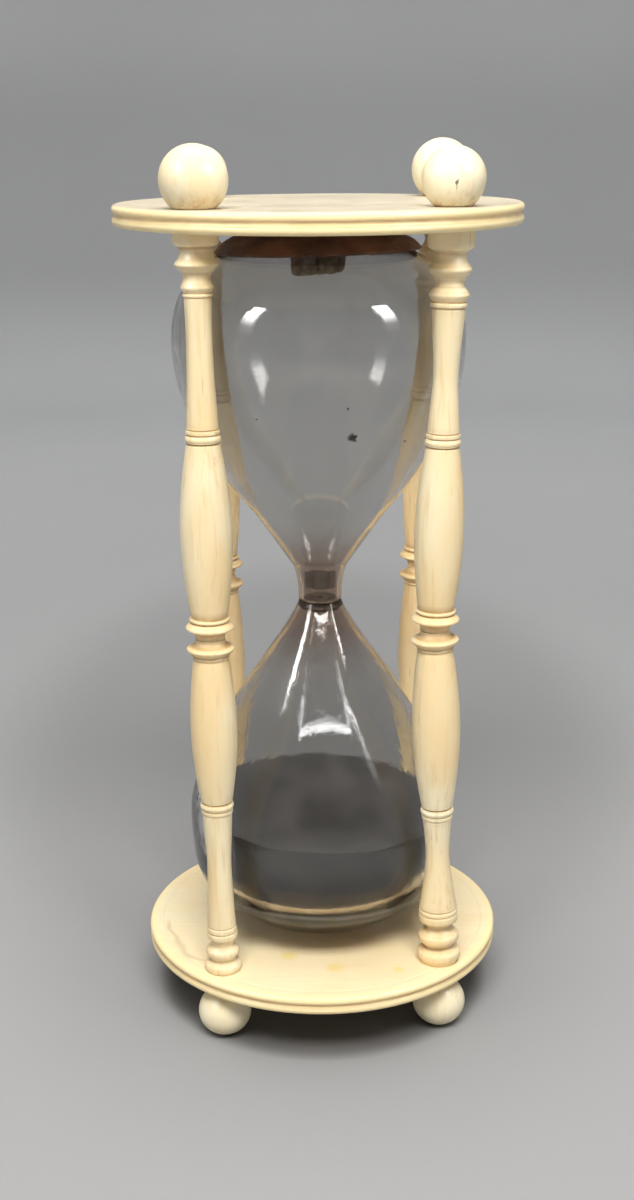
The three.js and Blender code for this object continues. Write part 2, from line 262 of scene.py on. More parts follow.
class Shader:
    """A material's nodes, with a short call for each kind used here."""

    def __init__(self, owner):
        self.owner = owner
        owner.use_nodes = True
        self.tree = owner.node_tree
        self.tree.nodes.clear()

    def add(self, kind, **settings):
        node = self.tree.nodes.new(kind)
        for key, value in settings.items():
            setattr(node, key, value)
        return node

    def feed(self, socket, value):
        if isinstance(value, bpy.types.NodeSocket):
            self.tree.links.new(value, socket)
        elif isinstance(value, tuple) and len(value) == 3 and socket.type == "RGBA":
            socket.default_value = (*value, 1)
        else:
            socket.default_value = value

    def place(self, stretch=(1, 1, 1), offset=(0, 0, 0)):
        mapping = self.add("ShaderNodeMapping")
        self.feed(mapping.inputs["Vector"], self.add("ShaderNodeTexCoord").outputs["Object"])
        mapping.inputs["Scale"].default_value = stretch
        mapping.inputs["Location"].default_value = offset
        return mapping.outputs["Vector"]

    def noise(self, scale, stretch=(1, 1, 1), detail=3.0, distortion=0.0, offset=(0, 0, 0)):
        node = self.add("ShaderNodeTexNoise")
        self.feed(node.inputs["Vector"], self.place(stretch, offset))
        node.inputs["Scale"].default_value = scale
        node.inputs["Detail"].default_value = detail
        node.inputs["Distortion"].default_value = distortion
        return node.outputs["Fac"]

    def math(self, operation, a, b=0.0, clamp=False):
        node = self.add("ShaderNodeMath", operation=operation, use_clamp=clamp)
        self.feed(node.inputs[0], a)
        self.feed(node.inputs[1], b)
        return node.outputs[0]

    def band(self, value, low, high, to_low=0.0, to_high=1.0):
        node = self.add("ShaderNodeMapRange", interpolation_type="SMOOTHSTEP")
        self.feed(node.inputs["Value"], value)
        node.inputs["From Min"].default_value = low
        node.inputs["From Max"].default_value = high
        node.inputs["To Min"].default_value = to_low
        node.inputs["To Max"].default_value = to_high
        return node.outputs["Result"]

    def mix(self, share, a, b, blend="MIX"):
        node = self.add("ShaderNodeMix", data_type="RGBA", blend_type=blend)
        self.feed(node.inputs[0], share)
        self.feed(node.inputs[6], a)
        self.feed(node.inputs[7], b)
        return node.outputs[2]

    def distance(self, point, stretch=(1, 1, 1)):
        """Distance in metres from a point of the object, with each axis stretched."""
        node = self.add("ShaderNodeVectorMath", operation="DISTANCE")
        self.feed(node.inputs[0], self.place(stretch))
        node.inputs[1].default_value = [p * s for p, s in zip(point, stretch)]
        return node.outputs["Value"]

    def bump(self, height, distance, strength=1.0, under=None):
        node = self.add("ShaderNodeBump")
        node.inputs["Strength"].default_value = strength
        node.inputs["Distance"].default_value = distance
        self.feed(node.inputs["Height"], height)
        if under is not None:
            self.feed(node.inputs["Normal"], under)
        return node.outputs["Normal"]

    def finish(self, **inputs):
        surface = self.add("ShaderNodeBsdfPrincipled")
        for key, value in inputs.items():
            self.feed(surface.inputs[key.replace("_", " ")], value)
        output = self.add("ShaderNodeOutputMaterial")
        self.tree.links.new(surface.outputs[0], output.inputs["Surface"])
        return self.owner


# ---- Bone ----

CREAM = (0.91, 0.785, 0.52)
WARM = (0.88, 0.67, 0.36)
PALE = (0.94, 0.86, 0.63)
PORE = (0.50, 0.30, 0.11)
# The brown of the painted shade in hollows.
SHADE_BROWN = (0.50, 0.29, 0.10)


def bone(name, grain, light=CREAM, warm=WARM, extra=None, pores=0.5, streaks=0.4):
    """Bone: mottled cream, with fine canals along the grain, dark pores, and painted shade in the hollows."""
    s = Shader(bpy.data.materials.new(name))
    mottle = s.band(s.noise(38, grain[1], 3, 0.6), 0.36, 0.68)
    colour = s.mix(mottle, light, warm)
    pale = s.band(s.noise(17, offset=(3, 1, 2)), 0.48, 0.7, 0, 0.75)
    colour = s.mix(pale, colour, PALE)
    fibre = s.noise(620, grain[0], 3, 0.4)
    colour = s.mix(s.band(fibre, 0.5, 0.76, 0, streaks), colour, (0.74, 0.52, 0.24))
    patch = s.band(s.noise(55, grain[1], 2, 0.3, (5, 2, 7)), 0.40, 0.60)
    canal = s.band(s.noise(1150, grain[2], 2, 0.2, (1, 4, 0)), 0.63, 0.73)
    canal = s.math("MULTIPLY", canal, s.math("MULTIPLY", patch, pores))
    colour = s.mix(canal, colour, PORE)
    if extra:
        colour = extra(s, colour)
    # Painted shade, brown and uneven, in the hollows and where pieces meet.
    shade_share = s.add("ShaderNodeAttribute", attribute_name="shade_share").outputs["Fac"]
    uneven = s.band(s.noise(120, detail=4), 0.3, 0.65, 0.4, 0.95)
    colour = s.mix(s.math("MULTIPLY", shade_share, uneven), colour, SHADE_BROWN)
    rough = s.band(s.noise(85, detail=5), 0.3, 0.7, 0.34, 0.5)
    fine = s.bump(fibre, 0.00018, 0.35)
    normal = s.bump(canal, 0.0002, -0.6, fine)
    return s.finish(Base_Color=colour, Roughness=rough, Normal=normal, IOR=1.54,
                    Subsurface_Weight=0.12, Subsurface_Radius=(0.004, 0.0025, 0.0015), Subsurface_Scale=1.0)


UPRIGHT = ((1, 1, 0.045), (1, 1, 0.3), (1, 1, 0.09))
LYING = ((0.07, 1, 1), (0.5, 1, 1), (0.12, 1, 1))


def height_band(s, low, high, to_low=0.0, to_high=1.0):
    """A share that changes between two heights above the ground, in metres."""
    height = s.add("ShaderNodeSeparateXYZ")
    s.feed(height.inputs[0], s.place())
    return s.band(height.outputs[2], low, high, to_low, to_high)


def pillar_painted_shade(s, colour):
    """Painted shade makes the back pillars darker and browner, and a painted shadow darkens the front right
    one at its foot.
    """
    depth = s.add("ShaderNodeSeparateXYZ")
    s.feed(depth.inputs[0], s.place())
    # Painted shade: the pillars behind the middle are tinted darker and browner.
    back_shade = s.band(depth.outputs[1], -0.005, 0.005)
    colour = s.mix(back_shade, colour, s.mix(1.0, colour, (0.90, 0.80, 0.67), "MULTIPLY"))
    # Painted shadow: a ragged dark patch at the foot of the front right pillar.
    foot_shadow = (0.0475, -0.0405, 0.0272)
    ragged = s.band(s.noise(700, detail=3), 0.35, 0.65, -0.0004, 0.0004)
    reach = s.math("ADD", s.distance(foot_shadow, (0.7, 1, 1.3)), ragged)
    return s.mix(s.band(reach, 0.0015, 0.0008, 0, 0.8), colour, (0.16, 0.06, 0.02))


def ball_marks(s, colour):
    """The dark scar on the front right finial, and brown streaks that rise from each base."""
    streak = s.band(s.noise(420, (1, 1, 0.12), 2, 0.5, (2, 6, 1)), 0.48, 0.66)
    above = height_band(s, (TOP_HIGH.z + 6) * MM, (TOP_HIGH.z + 0.5) * MM)
    rising = s.math("MULTIPLY", streak, s.math("MULTIPLY", above, height_band(s, 0.2, 0.21)))
    colour = s.mix(s.math("MULTIPLY", rising, 0.55), colour, (0.62, 0.38, 0.14))
    x, y = finial_axis("front_right")
    radius, centre = PILLARS["front_right"]["finial"]
    scar = (x * MM, (y - radius) * MM, (TOP_HIGH.z + centre - 0.9) * MM)
    ragged = s.band(s.noise(1300, detail=3), 0.35, 0.65, -0.0002, 0.0002)
    reach = s.math("ADD", s.distance(scar, (1, 0.4, 0.5)), ragged)
    colour = s.mix(s.band(reach, 0.0006, 0.0003, 0, 0.85), colour, (0.14, 0.06, 0.02))
    tail = s.distance((scar[0], scar[1], scar[2] - 0.0016), (1, 0.4, 0.18))
    return s.mix(s.band(tail, 0.0003, 0.0001, 0, 0.6), colour, (0.30, 0.16, 0.06))


def plate_marks(s, colour):
    """A yellower rim, a greyer upper face, and yellow spots and a hairline vein on the lower plate."""
    cloud = s.band(s.noise(24, detail=4, distortion=1.2, offset=(9, 3, 1)), 0.55, 0.74, 0, 0.3)
    colour = s.mix(cloud, colour, (0.85, 0.70, 0.42))
    rim = s.band(s.distance((0, 0, 0), (1, 1, 0)), 0.0612, 0.0640)
    colour = s.mix(rim, colour, s.mix(0.75, colour, (1.0, 0.80, 0.42)))
    # The upper face of the top plate is greyer and darker.
    greyed = height_band(s, (TOP_HIGH.z - 0.5) * MM, (TOP_HIGH.z - 0.05) * MM)
    grey = s.mix(s.band(s.noise(30, detail=5), 0.3, 0.7), (0.52, 0.45, 0.33), (0.60, 0.53, 0.41))
    colour = s.mix(s.math("MULTIPLY", greyed, 0.9), colour, grey)
    z = BOTTOM_HIGH.z * MM
    for x, y, size in ((0.004, -0.0435, 0.0042), (-0.0125, -0.0345, 0.0045), (0.0265, -0.045, 0.003)):
        soft = s.band(s.distance((x, y, z)), size, size * 0.2, 0, 0.8)
        colour = s.mix(soft, colour, (0.88, 0.68, 0.24))
    wander = s.band(s.noise(45, detail=1), 0.2, 0.8, -0.004, 0.004)
    ring = s.math("ADD", s.distance((-0.002, 0.004, z)), wander)
    off = s.math("ABSOLUTE", s.math("SUBTRACT", ring, 0.0585))
    along = s.band(s.distance((-0.0525, -0.0235, z)), 0.021, 0.012)
    vein = s.math("MULTIPLY", s.band(off, 0.0012, 0.0001), along)
    return s.mix(s.math("MULTIPLY", vein, 0.4), colour, (0.44, 0.31, 0.17))


# ---- Other materials ----

# Specks of dirt on the front of the upper bulb, as (place, radius) in metres.
LARGEST_SPECK = 0.0016
SPECK_EDGE = 0.00074
SPECKS = [
    ((0.0100, -0.0414, 0.2121), LARGEST_SPECK), ((0.0083, -0.0454, 0.2216), 0.0004),
    ((-0.0195, -0.0405, 0.2177), 0.0004), ((0.0267, -0.0313, 0.2091), 0.0004),
]


def speck_share(s):
    """How much of a point is covered by a dark, ragged speck, from 0 to 1."""
    share = 0.0
    ragged = s.band(s.noise(1500, detail=3), 0.3, 0.7, -SPECK_EDGE, SPECK_EDGE)
    for place, size in SPECKS:
        edge = s.math("MULTIPLY", ragged, size / LARGEST_SPECK)
        reach = s.math("ADD", s.distance(place, (1, 0.5, 1)), edge)
        share = s.math("MAXIMUM", share, s.band(reach, size, size * 0.6, 0.0, 0.97))
    return share


def clear_glass(name, ripples, shadow_low, shadow_high):
    """Old blown glass, faintly grey and dusty, browner where it is thick at the neck and at the base.
    Lamps shine through it, so what is inside is lit, but the heavy base casts a dark shadow. The two
    heights, in metres, are where that shadow begins and ends."""
    s = Shader(bpy.data.materials.new(name))
    haze = s.band(s.noise(45, detail=5), 0.35, 0.75, 0.0, 0.04)
    normal = s.bump(s.noise(55, (1, 1, 0.5), 2), 0.0006, 0.12)
    normal = s.bump(s.noise(300, (1, 1, 0.6), 4, 0.6), 0.0002, ripples, normal)
    neck = s.band(s.distance((0, 0, MIDDLE * MM), (0.5, 0.5, 1)), 0.032, 0.006)
    tint = s.mix(neck, (0.775, 0.77, 0.755), (0.58, 0.48, 0.41))
    tint = s.mix(height_band(s, 0.062, 0.040), tint, (0.45, 0.36, 0.27))
    glass = s.add("ShaderNodeBsdfPrincipled")
    for key, value in {"Base Color": tint, "Roughness": haze, "IOR": 1.45,
                       "Transmission Weight": 1.0, "Normal": normal}.items():
        s.feed(glass.inputs[key], value)
    dust = s.add("ShaderNodeBsdfDiffuse")
    greyed = s.add("ShaderNodeMixShader")
    specks = speck_share(s)
    s.feed(dust.inputs["Color"], s.mix(specks, (0.62, 0.57, 0.52), (0.02, 0.018, 0.015)))
    s.feed(greyed.inputs[0], s.math("MAXIMUM", specks, s.band(s.noise(75, detail=7), 0.42, 0.75, 0.005, 0.03)))
    s.tree.links.new(glass.outputs[0], greyed.inputs[1])
    s.tree.links.new(dust.outputs[0], greyed.inputs[2])
    clear = s.add("ShaderNodeBsdfTransparent")
    shadow = height_band(s, shadow_low, shadow_high)
    s.feed(clear.inputs["Color"], s.mix(shadow, (0.16, 0.13, 0.10), (0.88, 0.885, 0.88)))
    choose = s.add("ShaderNodeMixShader")
    s.feed(choose.inputs[0], s.add("ShaderNodeLightPath").outputs["Is Shadow Ray"])
    s.tree.links.new(greyed.outputs[0], choose.inputs[1])
    s.tree.links.new(clear.outputs[0], choose.inputs[2])
    output = s.add("ShaderNodeOutputMaterial")
    s.tree.links.new(choose.outputs[0], output.inputs["Surface"])
    return s.owner


def dark_sand():
    """Grains of about a third of a millimetre, dark brown and grey with a few pale ones."""
    s = Shader(bpy.data.materials.new("dark_sand"))
    cells = s.add("ShaderNodeTexVoronoi", feature="F1")
    s.feed(cells.inputs["Vector"], s.place())
    cells.inputs["Scale"].default_value = 2600
    tone = s.add("ShaderNodeSeparateColor")
    s.feed(tone.inputs[0], cells.outputs["Color"])
    colour = s.mix(tone.outputs[0], (0.008, 0.0068, 0.006), (0.025, 0.0215, 0.019))
    colour = s.mix(s.band(tone.outputs[1], 0.9, 0.97), colour, (0.07, 0.061, 0.052))
    drift = s.band(s.noise(60, detail=4), 0.35, 0.7, 0, 0.35)
    colour = s.mix(drift, colour, (0.022, 0.019, 0.017))
    grains = s.bump(cells.outputs["Distance"], 0.0003, -0.8)
    return s.finish(Base_Color=colour, Roughness=0.82, Normal=grains)


def brown_leather():
    """Thin tan leather, scuffed paler, with a fine grain and soft folds."""
    s = Shader(bpy.data.materials.new("brown_leather"))
    tone = s.band(s.noise(70, detail=5, distortion=0.8), 0.3, 0.72)
    colour = s.mix(tone, (0.075, 0.026, 0.010), (0.21, 0.080, 0.032))
    worn = s.band(s.noise(210, detail=4), 0.58, 0.8, 0, 0.5)
    colour = s.mix(worn, colour, (0.30, 0.14, 0.07))
    cells = s.add("ShaderNodeTexVoronoi", feature="DISTANCE_TO_EDGE")
    s.feed(cells.inputs["Vector"], s.place())
    cells.inputs["Scale"].default_value = 900
    grain = s.bump(s.band(cells.outputs["Distance"], 0.0, 0.25), 0.0003, 0.6)
    folds = s.bump(s.noise(130, detail=3), 0.0012, 0.5, grain)
    rough = s.band(s.noise(150), 0.3, 0.7, 0.5, 0.75)
    return s.finish(Base_Color=colour, Roughness=rough, Normal=folds)


def old_cork():
    """Cork darkened with age, with pits along the grain."""
    s = Shader(bpy.data.materials.new("old_cork"))
    tone = s.band(s.noise(420, detail=5), 0.32, 0.7)
    colour = s.mix(tone, (0.11, 0.078, 0.052), (0.29, 0.22, 0.16))
    pit = s.band(s.noise(520, (1, 1, 0.3), 2, offset=(2, 0, 5)), 0.62, 0.7)
    colour = s.mix(pit, colour, (0.030, 0.020, 0.012))
    normal = s.bump(pit, 0.0005, -0.8, s.bump(tone, 0.0003, 0.5))
    return s.finish(Base_Color=colour, Roughness=0.85, Normal=normal)


def dark_brass():
    """Tarnished brass."""
    s = Shader(bpy.data.materials.new("dark_brass"))
    tone = s.band(s.noise(600, detail=4), 0.3, 0.7)
    colour = s.mix(tone, (0.09, 0.065, 0.04), (0.20, 0.15, 0.085))
    rough = s.band(s.noise(300), 0.3, 0.7, 0.35, 0.6)
    return s.finish(Base_Color=colour, Roughness=rough, Metallic=0.8,
                    Normal=s.bump(tone, 0.0001, 0.3))


def dark_wax():
    """Brown wax, smoky where it is thin."""
    s = Shader(bpy.data.materials.new("dark_wax"))
    tone = s.band(s.noise(380, (1, 1, 0.4), 4), 0.3, 0.7)
    colour = s.mix(tone, (0.020, 0.010, 0.005), (0.075, 0.042, 0.022))
    return s.finish(Base_Color=colour, Roughness=s.band(s.noise(200), 0.3, 0.7, 0.35, 0.6),
                    Alpha=height_band(s, (MIDDLE + 4) * MM, (MIDDLE + 1) * MM, 0.5, 1.0))


def show(piece, material, node, body="frame"):
    """Gives a piece its material, puts it on the body it rides on, and hides the CAD node that it stands for.
    """
    piece.data.materials.append(material)
    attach(piece, body)
    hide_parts(node)


# ---- Plates ----

ROLL = 1.5
GROOVE = 1.0
SCRIBE = PLATE_RADIUS - 5.2
SCRIBE_HALF = 0.35
DRILL_RADIUS = 2.9


def face_scribe(level, depth):
    """A scribed ring on a plate's face, from the middle outwards, with painted shade along it."""
    flat = [((radius, level), 0) for radius in (8, 16, 24, 32, 40, 48, 55, SCRIBE - 1, SCRIBE - SCRIBE_HALF)]
    return [*flat, ((SCRIBE, level + depth), 0.12), ((SCRIBE + SCRIBE_HALF, level), 0),
            ((SCRIBE + 1, level), 0)]


def make_plate(node, half, low, high, material):
    """A disc with two rounded rolls and a groove at its rim, and a scribed ring on each face."""
    rim = PLATE_RADIUS - ROLL
    groove = arc((PLATE_RADIUS + 0.35, (low + high) / 2), GROOVE, 240, 120, 6)
    points = [
        ((0, low), 0), *face_scribe(low, 0.12),
        *[(p, 0) for p in arc((rim, low + ROLL), ROLL, -90, 50, 9)],
        # Painted shade in the rim groove.
        *[(p, 0.3) for p in groove],
        *[(p, 0) for p in arc((rim, high - ROLL), ROLL, -50, 90, 9)],
        *reversed(face_scribe(high, -0.12)), ((0, high), 0),
    ]
    profile, painted_shade = zip(*points)
    plate = revolve(f"{node}_disc", list(profile), sides=160, painted_shade=painted_shade)
    for corner in PILLARS:
        cut_hole(plate, Axis(corner, half).at((low + high) / 2), low, high)
    show(plate, material, node)


def cut_hole(plate, centre, low, high):
    """Drills a stud hole through a plate, a little past both faces."""
    outline = [(0, low - 2), (DRILL_RADIUS, low - 2), (DRILL_RADIUS, high + 2), (0, high + 2)]
    drill = revolve("drill", outline, 32, placement=Matrix.Translation((*centre, 0)))
    cut = plate.modifiers.new("hole", "BOOLEAN")
    cut.operation = "DIFFERENCE"
    cut.object = drill
    bpy.context.view_layer.objects.active = plate
    bpy.ops.object.modifier_apply(modifier=cut.name)
    bpy.data.objects.remove(drill)


# ---- Pillars, as [radius, height from the middle joint outwards] ----

SEAM = 0.08
STUD_RADIUS = 2.5
SPIGOT = 7
STUD = PLATE_THICKNESS + STUD_IN_BALL
JOINT_RADIUS = 5.35
SWELL = 0.92

# Mouldings are [radius, height from the plate]. Each one ends where the shaft begins.
MOULDINGS = {
    "slim_upper": [
        (6.85, 0.06), (6.95, 1.2), (6.85, 2.7), (6.4, 3.4), (5.3, 4.1), (4.95, 5.1), (5.1, 6.2), (5.6, 7.4),
        (6.5, 8.6), (6.5, 9.2), (5.6, 10.2), (4.8, 10.9), (4.4, 11.5), (4.2, 12.4), (4.3, 13.3), (4.55, 14.2),
        (4.95, 15.2), (4.9, 15.7), (4.5, 16.4), (4.15, 17.05), (4.5, 17.3), (4.5, 17.9), (4.1, 18.1),
        (4.2, 18.5),
    ],
    "stout_upper": [
        (7.05, 0.06), (7.15, 1.5), (7.1, 4.2), (6.75, 5.1), (5.5, 5.8), (4.75, 6.6), (4.7, 7.6), (5, 8.8),
        (5.8, 9.9), (6.5, 10.9), (6.5, 11.5), (5.9, 12.4), (5.1, 13.2), (4.6, 14), (4.3, 14.9),
        (4.5, 15.9), (5.1, 16.8), (5.8, 17.7), (6.15, 18.4), (6, 19), (5.5, 19.9), (5.05, 20.6), (5.6, 20.9),
        (5.6, 21.8), (4.95, 22.2), (5.15, 22.7),
    ],
    "slim_lower": [
        (5.9, 0.06), (6.35, 0.8), (6.5, 1.8), (6.25, 2.8), (5.4, 3.5), (4.6, 4), (4.45, 4.6), (4.8, 5.4),
        (5.5, 6.1), (5.8, 7), (5.8, 7.8), (5.5, 8.5), (4.7, 9.2), (4.1, 10), (4, 10.8), (4.3, 11.8),
        (5, 12.7), (5.35, 13.3), (5.35, 14.8), (4.85, 15.15), (5.25, 15.5), (5.15, 17.1), (4.7, 17.45),
        (5, 17.8),
    ],
    "stout_lower": [
        (6.6, 0.06), (7.1, 1), (7.6, 2.1), (7.7, 3.1), (7.45, 4.2), (6.5, 5), (5.3, 5.7), (5, 6.3),
        (5.4, 7.1), (6.4, 7.9), (7, 8.8), (7.15, 9.7), (7, 10.7), (6.2, 11.6), (5, 12.6), (4.5, 13.8),
        (5, 15), (6.2, 16), (6.8, 16.7), (6.8, 18.8), (6.3, 19.25), (6.75, 19.6), (6.65, 20.7),
        (6.15, 21.05), (6.55, 21.5),
    ],
}


def belly_outline(length, girth, half):
    """Half of the neck's cove, a sharp-edged disc, a thin collar, and the long belly."""
    collar = 6.55 if half == "upper" else 6.05
    neck = smooth_line([
        (4.85, SEAM), (4.9, 0.9), (5.25, 1.7), (6.2, 2.4), (7.3, 2.9), (7.75, 3.3), (7.8, 3.7), (7.5, 4.2),
        (6.8, 4.9), (6.1, 5.4), (5.8, 5.65), (collar - 0.2, 5.85), (collar, 6.2), (collar, 6.5),
        (collar - 0.25, 6.85), (5.75, 7.05),
    ], 3)
    bow = (girth - (5.9 + JOINT_RADIUS) / 2) / SWELL
    end = length - 0.5
    steps = 24
    belly = []
    for i in range(steps + 1):
        part = i / steps
        swell = bow * math.sin(part * math.pi) ** SWELL
        belly.append((5.9 + (JOINT_RADIUS - 5.9) * part + swell, 7.4 + (end - 7.4) * part))
    return [*neck, *belly, (JOINT_RADIUS - 0.4, length - SEAM)]


def end_outline(joint, reach, shaft, style):
    """Two rings beside the joint, the hollow shaft, and the mouldings next to the plate."""
    rings = [
        (4.9, SEAM), (5.45, 0.3), *arc((4.4, 1.3), 1.3, -40, 40, 6), (5.3, 2.4), (4.85, 2.6), (5.3, 2.85),
        (5.4, 3.4), (5.25, 3.95), (4.8, 4.15), (5.05, 4.5),
    ]
    moulding = [(radius, reach - up) for radius, up in reversed(smooth_line(MOULDINGS[style], 3))]
    start, end = joint + 4.5, moulding[0][1]
    line = [(5.05, start)]
    for i, radius in enumerate(shaft):
        line.append((radius, start + (end - start) * (i + 1) / (len(shaft) + 1)))
    line.append(moulding[0])
    return [*[(r, joint + h) for r, h in rings], *smooth_line(line, 6)[1:-1], *moulding]


def with_spigot(outline, length):
    """Closes the outer end of an outline with a plain stub, and its inner end flat."""
    tip = outline[-1][1] + length
    stub = [(STUD_RADIUS, outline[-1][1]), (STUD_RADIUS, tip - 0.4), (STUD_RADIUS - 0.4, tip), (0, tip)]
    return [(0, outline[0][1]), *outline, *stub]


def make_half_pillar(corner, half, material):
    axis = Axis(corner, half)
    turning = PILLARS[corner][half]
    belly = belly_outline(turning["belly"], turning["girth"], half)
    end = end_outline(turning["belly"], axis.reach, turning["shaft"], turning["style"])
    for part, outline, length in (("belly", belly, SPIGOT), ("end", end, STUD)):
        node = f"{corner}_pillar_{half}_{part}"
        piece = revolve(f"{node}_turning", with_spigot(outline, length), 56, placement=axis.placement())
        show(piece, material, node)


# ---- Balls ----

FOOT_RADIUS = 9.4
FOOT_CENTRE = 8.9
FOOT_HEIGHT = 18.3
FOOT_NECK = 5.2
BALL_POLE = 0.8
BORE_RADIUS = 2.9
FOOT_BORE = 9.8
FINIAL_BORE = 10


def squashed_ball(radius, centre, low, high, low_radius, high_radius, steps=44):
    """The outline of a worn ball, from below its middle to above it. Its lowest and highest points
    are low and high, and its ends lie at the two radii."""
    start = -math.acos(low_radius / radius)
    end = math.acos(high_radius / radius)
    points = []
    for i in range(steps + 1):
        angle = start + (end - start) * i / steps
        tall = high - centre if angle > 0 else centre - low
        points.append((radius * math.cos(angle), centre + tall * math.sin(angle)))
    return points


def make_foot(corner, material):
    low, high = box_mm(f"{corner}_foot")
    top = high.z + 0.25
    middle = low.z + FOOT_CENTRE
    ball = squashed_ball(FOOT_RADIUS, middle, low.z, low.z + FOOT_HEIGHT, BALL_POLE, FOOT_NECK)
    bore = [(BORE_RADIUS, top), (BORE_RADIUS, top - FOOT_BORE), (0, top - FOOT_BORE)]
    profile = [(0, low.z), *ball, (FOOT_NECK, top), *bore]
    place = Matrix.Translation((*foot_axis(corner), 0))
    foot = revolve(f"{corner}_foot_ball", profile, placement=place, painted_shade=[0] * len(profile))
    show(foot, material, f"{corner}_foot", f"{corner}_foot")


def make_finial(corner, material):
    high = box_mm(f"{corner}_finial")[1]
    radius, centre = PILLARS[corner]["finial"]
    base = TOP_HIGH.z + 0.05
    middle = TOP_HIGH.z + centre
    neck = math.sqrt(radius ** 2 - (middle - base) ** 2)
    ball = squashed_ball(radius, middle, middle - radius, high.z, neck, BALL_POLE)
    bore = [(0, base + FINIAL_BORE), (BORE_RADIUS, base + FINIAL_BORE), (BORE_RADIUS, base)]
    profile = [*bore, *ball, (0, high.z)]
    place = Matrix.Translation((*finial_axis(corner), 0))
    # Painted shade in a ring where the ball sits on the plate.
    painted_shade = [0, 0, 1, 1] + [0] * (len(profile) - 4)
    finial = revolve(f"{corner}_finial_ball", profile, placement=place, painted_shade=painted_shade)
    show(finial, material, f"{corner}_finial", f"{corner}_finial")


# ---- Glass, sand and stopper, measured from mid height ----

WALL = 1.7

UPPER_BULB = [
    (7.5, 0.6), (7.7, 5.2), (8.9, 11.2), (11, 14.6), (14.7, 20), (22.5, 31), (31, 42), (40.2, 58),
    (46, 72), (48.1, 84.5), (46.8, 97), (43.4, 104.5), (38.5, 110.3), (30, 115.4), (20, 118.8),
    (9.3, 120.2),
]
LOWER_BULB = [
    (7.5, 0.6, 1.7), (9.3, 4.4, 1.7), (13.8, 12, 1.7), (20, 21, 1.8), (31.4, 38, 2), (40, 54.5, 2.3),
    (46, 69.5, 2.8), (48.1, 82.5, 3.5), (47, 97, 4.3), (43.6, 105.2, 5.2), (38, 110.8, 6.2),
    (30, 116.7, 7.2), (20, 121.2, 8), (12, HALF_INSIDE - 0.3, 8.4),
]


def inside(outline, clearance=0):
    """The inside of the glass, or a line a little way in from it. A point's third number is its wall."""
    moved = []
    for i, (radius, height, *wall) in enumerate(outline):
        distance = (wall[0] if wall else WALL) + clearance
        before, after = outline[max(i - 1, 0)], outline[min(i + 1, len(outline) - 1)]
        along = Vector((after[0] - before[0], after[1] - before[1])).normalized()
        moved.append((radius - distance * along.y, height + distance * along.x))
    return moved


def blown(amount, seed):
    """Moves glass in and out a little, more on the long cone, as hand-blown glass is."""
    def shape(radius, angle, height):
        place = Vector((math.cos(angle) * 1.3, math.sin(angle) * 1.3, height / 17 + seed))
        return radius + amount * noise.noise(place) * min(radius / 30, 1), height
    return shape


def make_upper_bulb(material):
    outer = smooth_line(UPPER_BULB)
    inner = inside(outer)
    inner[0] = (inner[0][0], outer[0][1])
    inner[-1] = (outer[-1][0], inner[-1][1])
    profile = [(r, MIDDLE + h) for r, h in [*outer, *reversed(inner), outer[0]]]
    bulb = revolve("upper_bulb_glass", profile, sides=128, shape=blown(0.3, 3))
    show(bulb, material, "upper_bulb")


def make_lower_bulb(material):
    outer = smooth_line(LOWER_BULB)
    inner = inside(outer)
    inner[0] = (inner[0][0], outer[0][1])
    line = [(0, inner[-1][1]), *reversed(inner), *[point[:2] for point in outer], (0, outer[-1][1] - 0.4)]
    profile = [(r, MIDDLE - h) for r, h in line]
    bulb = revolve("lower_bulb_glass", profile, sides=128, shape=blown(0.55, 8))
    show(bulb, material, "lower_bulb")
    return bulb


SAND_DEPTH = 77.5
SAND_MOUND = 1.5
DRIFT_HEIGHT = 0.9
DRIFT_WIDTH = 16
SAND_TILT = -0.035


def make_sand(material):
    """Sand at rest in the lower bulb: a low mound with a few soft hollows, hard against the wall."""
    wall = [p for p in inside(smooth_line(LOWER_BULB), 0.12) if p[1] > SAND_DEPTH]
    edge = wall[0][0]
    steps = 26
    surface = [(edge * i / steps, SAND_DEPTH - SAND_MOUND * (1 - (i / steps) ** 2)) for i in range(steps)]
    line = [*surface, (edge, SAND_DEPTH), *wall[1:], (0, wall[-1][1])]
    top = MIDDLE - SAND_DEPTH

    def drifts(radius, angle, height):
        on_top = min(max((height - top + SAND_MOUND) / SAND_MOUND, 0), 1)
        x, y = radius * math.cos(angle) / DRIFT_WIDTH, radius * math.sin(angle) / DRIFT_WIDTH
        tilt = SAND_TILT * radius * math.cos(angle)
        return radius, height + on_top * (DRIFT_HEIGHT * noise.noise(Vector((x, y, 4.2))) + tilt)

    profile = [(r, MIDDLE - h) for r, h in line]
    show(revolve("sand_fill", profile, sides=96, shape=drifts), material, "sand")


def make_diaphragm(material, wax):
    """The disc between the bulbs, with the dark wax that holds it above and below."""
    half = 0.3
    disc_line = [(1.1, -half), (7.1, -half), (7.3, 0), (7.1, half), (1.1, half), (1.1, -half)]
    lower_line = [(3.4, -0.4), (5.8, -0.4), (6.2, -1.5), (6.7, -2.6), (6.3, -3.6), (4.2, -3.2), (3.4, -0.4)]
    upper_line = [(4.9, 4.4), (5.3, 4.6), (5.4, 7), (5.4, 9.4), (5, 9.6), (4.9, 4.4)]

    def runs(radius, angle, height):
        drop = noise.noise(Vector((math.cos(angle) * 1.6, math.sin(angle) * 1.6, 2)))
        far = min(abs(height - MIDDLE) / 3, 1)
        return radius, height + 0.8 * drop * far

    for name, line, look, shape in (("disc", disc_line, material, None), ("lower_wax", lower_line, wax, runs),
                                    ("upper_wax", upper_line, wax, runs)):
        piece = revolve(f"neck_diaphragm_{name}", [(r, MIDDLE + h) for r, h in line], shape=shape)
        show(piece, look, "neck_diaphragm")


CORK_TOP = 120.3
CORK_LENGTH = 11.8
CORK_EDGE = 1.4
CORK_RADIUS = 9
CORK_TILT = 0.067


